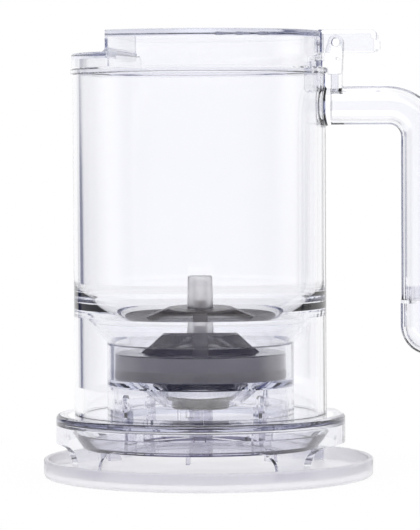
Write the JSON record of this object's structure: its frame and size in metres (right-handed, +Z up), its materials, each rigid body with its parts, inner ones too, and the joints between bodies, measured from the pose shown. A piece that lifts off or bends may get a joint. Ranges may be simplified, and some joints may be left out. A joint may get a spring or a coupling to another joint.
{
  "type": "tea infuser mug",
  "caption": "Clear lidded tea infuser mug with an inner filter and a lift valve in its base that drains onto a cup below, standing on a frosted coaster.",
  "frame": {"origin": "on the mug's axis, in the plane of the coaster's underside", "axes": "+Z up along the mug's axis, +X towards the handle"},
  "size_m": [0.1538, 0.1252, 0.1688],
  "materials": {
    "clear_plastic": "clear glossy copolyester",
    "pin": "smooth pale plastic",
    "valve": "soft grey silicone",
    "filter_plastic": "satin grey",
    "filter_mesh": "fine woven mesh",
    "filter_seal": "soft silicone",
    "frosted_knob": "frosted translucent",
    "frosted_coaster": "frosted translucent"
  },
  "bodies": {
    "coaster": {"coaster": "frosted_coaster"},
    "mug": {"mug_body": "clear_plastic", "handle_end_cap": "clear_plastic", "hinge_bracket": "clear_plastic", "hinge_pin": "pin", "base_ring": "clear_plastic"},
    "lid": {"lid": "clear_plastic"},
    "release_plate": {"release_plate": "clear_plastic"},
    "valve": {"valve_poppet": "valve"},
    "filter": {"filter_frame": "filter_plastic", "filter_mesh": "filter_mesh", "filter_seal": "filter_seal", "filter_knob": "frosted_knob"}
  },
  "joints": [
    {"name": "mug_lift", "type": "slide", "parent": "coaster", "child": "mug", "axis": [0, 0, 1], "range_m": [0, 0.06]},
    {"name": "lid_hinge", "type": "hinge", "parent": "mug", "child": "lid", "pos_m": [0.0521, 0, 0.1641], "axis": [0, 1, 0], "range_deg": [0, 60]},
    {"name": "plate_lift", "type": "slide", "parent": "mug", "child": "release_plate", "axis": [0, 0, 1], "range_m": [0, 0.0038]},
    {"name": "valve_lift", "type": "slide", "parent": "mug", "child": "valve", "axis": [0, 0, 1], "range_m": [0, 0.0038]},
    {"name": "filter_lift", "type": "slide", "parent": "mug", "child": "filter", "axis": [0, 0, 1], "range_m": [0, 0.06]}
  ],
  "couplings": [
    {"joint": "valve_lift", "follows": "plate_lift", "ratio": 1}
  ]
}
